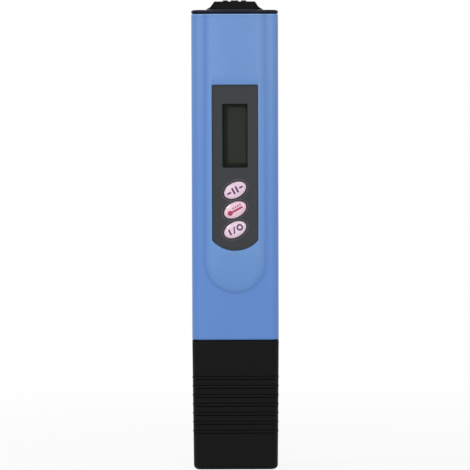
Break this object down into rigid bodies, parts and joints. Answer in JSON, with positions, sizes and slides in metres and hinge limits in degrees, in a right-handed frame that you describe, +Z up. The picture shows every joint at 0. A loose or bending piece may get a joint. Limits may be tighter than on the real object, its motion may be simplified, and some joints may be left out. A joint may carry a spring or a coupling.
{
  "type": "water test pen",
  "caption": "Flat pocket water tester: two-shell case with a display window and tilted oval keys, a pull-out battery cover with a pocket clip, and a ribbed cap over a pin probe.",
  "frame": {"origin": "centre of the flat closed end of the probe cap", "axes": "+Z up the pen from the cap to the battery cover, -Y out of the front face with the display, +Y out of the back with the clip, +X to the right seen from the front"},
  "size_m": [0.0286, 0.019, 0.1543],
  "materials": {
    "blue_plastic": "satin moulded plastic, mid blue",
    "black_plastic": "matt black moulded plastic",
    "gloss_black": "polished blue-black plastic",
    "panel_grey": "dark grey printed panel",
    "clear_plastic": "clear plastic window",
    "lcd_glass": "blank grey-green display glass",
    "key_lavender": "glossy pale lavender",
    "board_green": "green solder mask",
    "dark_epoxy": "black epoxy",
    "white_plastic": "white moulded plastic",
    "rubber": "dark silicone rubber",
    "steel": "plain steel",
    "spring_brass": "spring brass",
    "red_lead": "red wire insulation",
    "black_lead": "black wire insulation",
    "trimmer_blue": "blue moulded plastic"
  },
  "bodies": {
    "case": {"front_shell": "blue_plastic", "rear_shell": "blue_plastic", "front_panel": "panel_grey", "display_window": "clear_plastic", "lcd_panel": "lcd_glass", "lcd_frame": "white_plastic", "zebra_strip_left": "rubber", "zebra_strip_right": "rubber", "circuit_board": "board_green", "controller_chip": "dark_epoxy", "amplifier_chip": "dark_epoxy", "switch_hold": "steel", "switch_temp": "steel", "switch_power": "steel", "trimmer_body": "trimmer_blue", "contact_positive": "spring_brass", "contact_negative": "spring_brass", "probe_body": "black_plastic", "probe_seal": "rubber", "electrode_left": "steel", "electrode_right": "steel", "thermistor": "dark_epoxy", "electrode_lead_left": "red_lead", "electrode_lead_right": "black_lead", "thermistor_lead": "black_lead"},
    "cap": {"probe_cap": "black_plastic"},
    "hold_key": {"button_hold": "key_lavender", "plunger_hold": "dark_epoxy"},
    "temp_key": {"button_temp": "key_lavender", "plunger_temp": "dark_epoxy"},
    "power_key": {"button_power": "key_lavender", "plunger_power": "dark_epoxy"},
    "battery_drawer": {"battery_cover": "gloss_black", "pocket_clip": "black_plastic", "battery_cell_lower": "steel", "battery_cell_upper": "steel", "battery_link": "spring_brass"},
    "trimmer": {"trimmer_rotor": "white_plastic"}
  },
  "joints": [
    {"name": "cap_slide", "type": "slide", "parent": "cap", "child": "case", "axis": [0, 0, 1], "range_m": [0, 0.04]},
    {"name": "battery_slide", "type": "slide", "parent": "case", "child": "battery_drawer", "axis": [0, 0, 1], "range_m": [0, 0.03]},
    {"name": "hold_press", "type": "slide", "parent": "case", "child": "hold_key", "axis": [0, 1, 0], "range_m": [0, 0.00035], "stiffness_N_per_m": 1200, "springref_m": -0.001},
    {"name": "temp_press", "type": "slide", "parent": "case", "child": "temp_key", "axis": [0, 1, 0], "range_m": [0, 0.00035], "stiffness_N_per_m": 1200, "springref_m": -0.001},
    {"name": "power_press", "type": "slide", "parent": "case", "child": "power_key", "axis": [0, 1, 0], "range_m": [0, 0.00035], "stiffness_N_per_m": 1200, "springref_m": -0.001},
    {"name": "trimmer_turn", "type": "hinge", "parent": "case", "child": "trimmer", "pos_m": [0, 0.0028, 0.084], "axis": [0, 1, 0], "range_deg": [-120, 120]}
  ]
}
